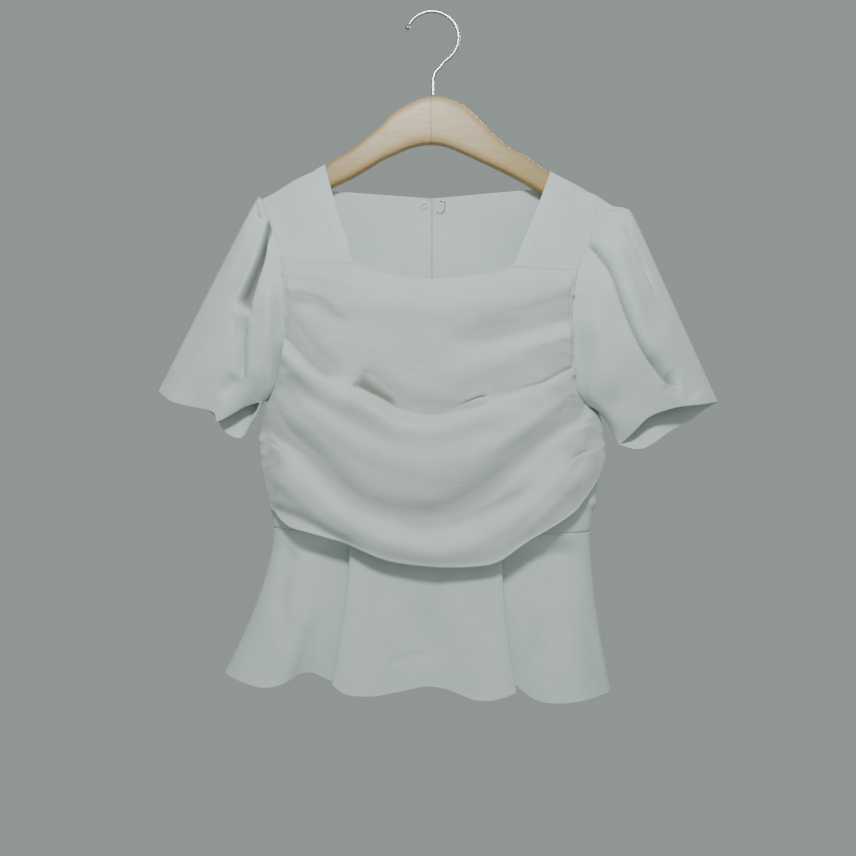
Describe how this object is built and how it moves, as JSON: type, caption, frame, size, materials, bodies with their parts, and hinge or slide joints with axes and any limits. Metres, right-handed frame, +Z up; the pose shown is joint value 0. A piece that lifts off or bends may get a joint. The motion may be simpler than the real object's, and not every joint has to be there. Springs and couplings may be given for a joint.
{
  "type": "layered short-sleeve blouse on a wooden hanger",
  "caption": "White short-sleeve blouse with a square neck, a gathered draped front and a flared peplum, hung on a wooden hanger.",
  "frame": {"origin": "the highest point inside the loop of the hanger's hook, where it hangs on a rail or wall hook", "axes": "+X to the right as the front is seen, -Y out of the front, +Z up"},
  "size_m": [0.56, 0.0896, 0.6823],
  "materials": {
    "cloth": "matt woven",
    "drape": "sheer soft",
    "tape": "matt woven",
    "wood": "satin lacquer",
    "steel": "bright"
  },
  "bodies": {
    "garment": {"front_base": "cloth", "front_yoke_left": "cloth", "front_yoke_right": "cloth", "back_left": "cloth", "back_right": "cloth", "facing_left": "cloth", "facing_right": "cloth", "sleeve_left": "cloth", "sleeve_right": "cloth", "peplum_front": "cloth", "peplum_back": "cloth", "front_drape": "drape", "zip_tape": "tape", "neck_eye": "tape", "hanger_bar": "wood", "hanger_hook": "steel", "zip_slider": "steel", "neck_hook": "steel"},
    "pull_tab": {"zip_pull": "steel"}
  },
  "joints": [
    {"name": "pull_swing", "type": "hinge", "parent": "garment", "child": "pull_tab", "pos_m": [0, 0.02823, -0.196], "axis": [1, 0, 0], "range_deg": [0, 150]}
  ]
}
